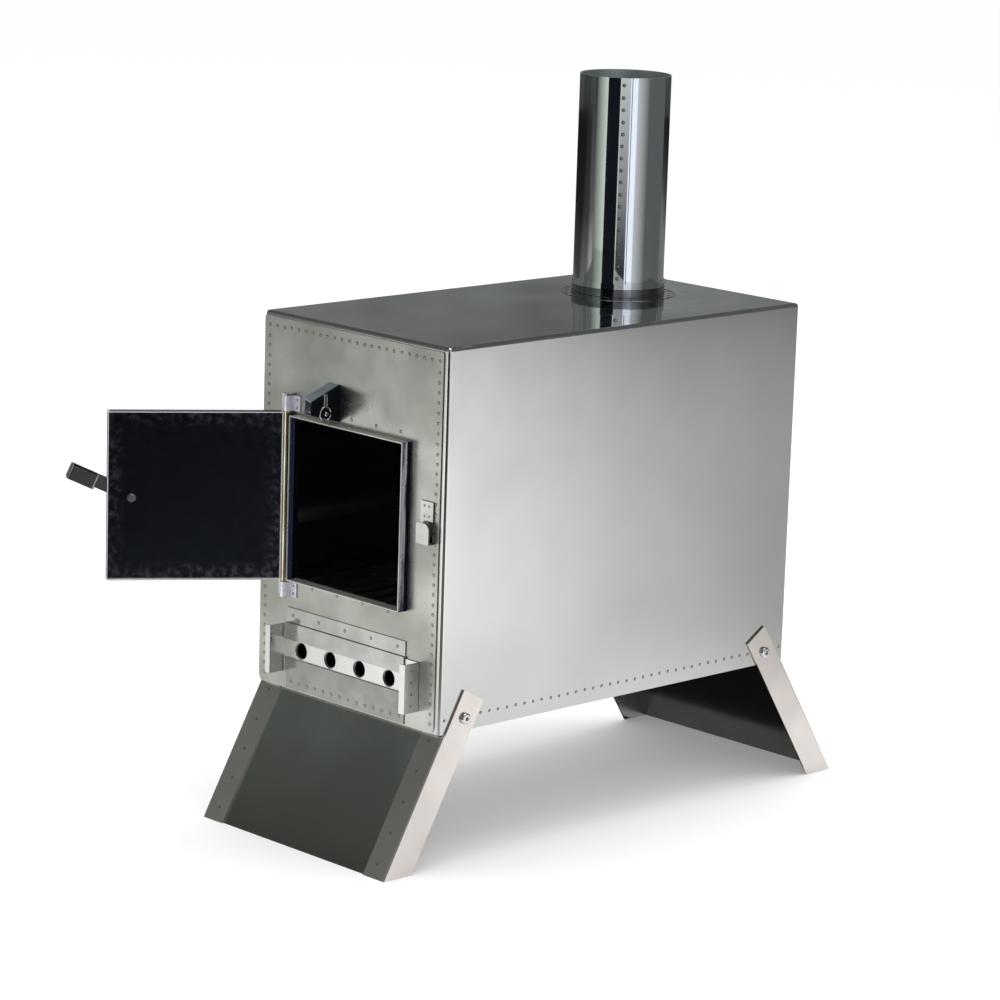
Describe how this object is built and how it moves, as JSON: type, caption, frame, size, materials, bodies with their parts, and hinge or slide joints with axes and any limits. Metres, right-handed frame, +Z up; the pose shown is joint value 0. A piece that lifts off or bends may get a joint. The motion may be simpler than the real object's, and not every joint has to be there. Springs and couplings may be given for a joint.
{
  "type": "camping wood stove",
  "caption": "Long sheet-steel camping wood stove with a hinged front door and drop latch, sliding air control, folding splayed legs and a round flue pipe on top.",
  "frame": {"origin": "on the ground, under the middle of the firebox body's length and width", "axes": "+X to the right as seen from the door side, +Y to the back, +Z up"},
  "size_m": [0.3121, 0.6461, 0.6285],
  "materials": {
    "body_sheet": "satin, cloudy from handling, finely scratched",
    "front_sheet": "satin with a hazy reflection",
    "welded_fittings": "satin, with small spot welds",
    "door_outer_sheet": "satin",
    "door_inner_sheet": "smooth, darkened by heat",
    "heat_tinted_steel": "straw coloured from the welding heat",
    "flue_ring": "bright pressed sheet",
    "pipe_sheet": "bright rolled sheet with drawn-out vertical reflections",
    "leg_web_sheet": "satin",
    "leg_angle_sheet": "satin, bright along the fold",
    "latch_sheet": "satin, darker at the cut edges",
    "bright_fastener": "bright zinc plate",
    "steel_wire": "drawn wire",
    "inner_sheet": "mill finish"
  },
  "bodies": {
    "firebox": {"body_wrap": "body_sheet", "front_panel": "front_sheet", "back_panel": "front_sheet", "door_collar": "front_sheet", "hinge_saddle_upper": "welded_fittings", "hinge_saddle_lower": "welded_fittings", "latch_keeper": "welded_fittings", "air_rail_upper": "welded_fittings", "air_rail_lower": "welded_fittings", "hanger_bracket": "welded_fittings", "hinge_rod": "heat_tinted_steel", "flue_collar": "flue_ring", "leg_bolts": "bright_fastener", "leg_washers": "bright_fastener", "leg_nuts": "bright_fastener", "hanger_bolt": "bright_fastener", "hanger_eye": "steel_wire", "bottom_tray": "inner_sheet", "ledge_left": "inner_sheet", "ledge_right": "inner_sheet", "grate_rail_left": "inner_sheet", "grate_rail_right": "inner_sheet"},
    "door": {"door_skin": "door_outer_sheet", "door_liner": "door_inner_sheet", "door_barrel": "heat_tinted_steel", "latch_screw": "bright_fastener", "latch_nut": "bright_fastener"},
    "latch": {"latch_lever": "latch_sheet", "latch_hook": "latch_sheet"},
    "air_slide": {"air_slide": "front_sheet"},
    "front_legs": {"front_leg_panel": "leg_web_sheet", "front_leg_angle_left": "leg_angle_sheet", "front_leg_angle_right": "leg_angle_sheet"},
    "rear_legs": {"rear_leg_panel": "leg_web_sheet", "rear_leg_angle_left": "leg_angle_sheet", "rear_leg_angle_right": "leg_angle_sheet"},
    "flue_pipe": {"flue_pipe": "pipe_sheet"},
    "grate": {"grate": "inner_sheet"}
  },
  "joints": [
    {"name": "door_hinge", "type": "hinge", "parent": "firebox", "child": "door", "pos_m": [-0.0764, -0.215, 0.2815], "axis": [0, 0, 1], "range_deg": [0, 125]},
    {"name": "latch_pivot", "type": "hinge", "parent": "door", "child": "latch", "pos_m": [-0.15669, -0.31711, 0.2799], "axis": [-0.8192, 0.5736, 0], "range_deg": [-64, 16]},
    {"name": "air_slide_travel", "type": "slide", "parent": "firebox", "child": "air_slide", "axis": [1, 0, 0], "range_m": [-0.015, 0]},
    {"name": "front_leg_fold", "type": "hinge", "parent": "firebox", "child": "front_legs", "pos_m": [0, -0.182, 0.1245], "axis": [1, 0, 0], "range_deg": [0, 119]},
    {"name": "rear_leg_fold", "type": "hinge", "parent": "firebox", "child": "rear_legs", "pos_m": [0, 0.182, 0.1245], "axis": [-1, 0, 0], "range_deg": [0, 123]},
    {"name": "flue_pipe_lift", "type": "slide", "parent": "firebox", "child": "flue_pipe", "axis": [0, 0, 1], "range_m": [0, 0.04]},
    {"name": "grate_lift", "type": "slide", "parent": "firebox", "child": "grate", "axis": [0, 0, 1], "range_m": [0, 0.02]}
  ]
}
